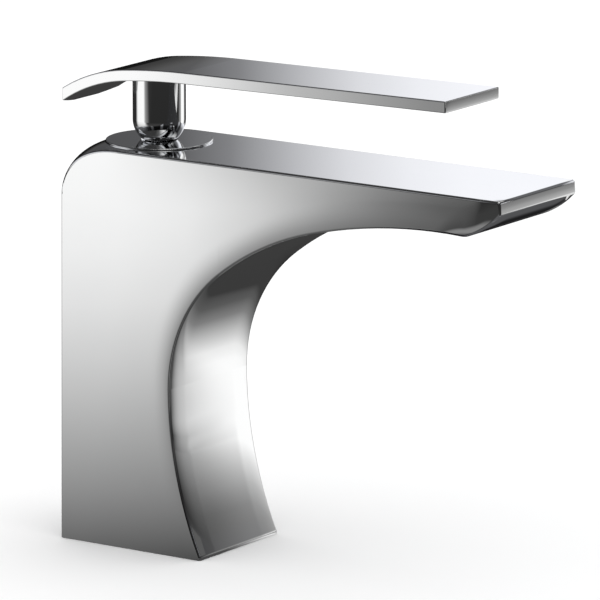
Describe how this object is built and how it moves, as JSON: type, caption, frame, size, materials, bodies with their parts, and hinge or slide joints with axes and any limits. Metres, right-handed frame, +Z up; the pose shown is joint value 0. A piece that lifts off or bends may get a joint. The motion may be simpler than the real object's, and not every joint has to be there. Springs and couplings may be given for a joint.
{
  "type": "basin faucet",
  "caption": "Single-lever basin mixer with a flat-sided arched body, a broad flat spout and a thin lever plate that lifts for flow and turns for temperature.",
  "frame": {"origin": "where the cartridge's axis meets the deck plane that the base stands on", "axes": "+Z up from the deck, +X towards the spout, +Y to the left of the spout"},
  "size_m": [0.1796, 0.045, 0.1624],
  "materials": {
    "chrome": "polished",
    "brass": "turned",
    "steel": "machined",
    "ceramic": "lapped",
    "plastic": "moulded",
    "rubber": "matt"
  },
  "bodies": {
    "mixer_body": {"body": "chrome", "cover_ring": "chrome", "cartridge_nut": "brass", "cartridge_housing": "plastic", "housing_o_ring": "rubber", "cartridge_base": "plastic", "inlet_seals": "rubber", "disc_seals": "rubber", "fixed_disc": "ceramic", "aerator_housing": "chrome", "aerator_insert": "plastic", "aerator_screen": "steel", "aerator_washer": "rubber", "base_gasket": "rubber"},
    "turning_stack": {"turning_sleeve": "plastic", "pivot_pin": "steel", "sleeve_o_ring": "rubber", "glide_ring": "plastic"},
    "disc_slider": {"disc_driver": "plastic", "moving_disc": "ceramic"},
    "lever": {"lever_plate": "chrome", "lever_post": "chrome", "spindle": "steel", "set_screw": "steel", "screw_plug": "chrome"}
  },
  "joints": [
    {"name": "temperature_turn", "type": "hinge", "parent": "mixer_body", "child": "turning_stack", "pos_m": [0, 0, 0.1412], "axis": [0, 0, 1], "range_deg": [-45, 45]},
    {"name": "lever_lift", "type": "hinge", "parent": "turning_stack", "child": "lever", "pos_m": [0, 0, 0.1412], "axis": [0, -1, 0], "range_deg": [0, 20]},
    {"name": "disc_slide", "type": "slide", "parent": "turning_stack", "child": "disc_slider", "axis": [1, 0, 0], "range_m": [0, 0.00452]}
  ],
  "couplings": [
    {"joint": "disc_slide", "follows": "lever_lift", "m_per_rad": 0.01293}
  ]
}
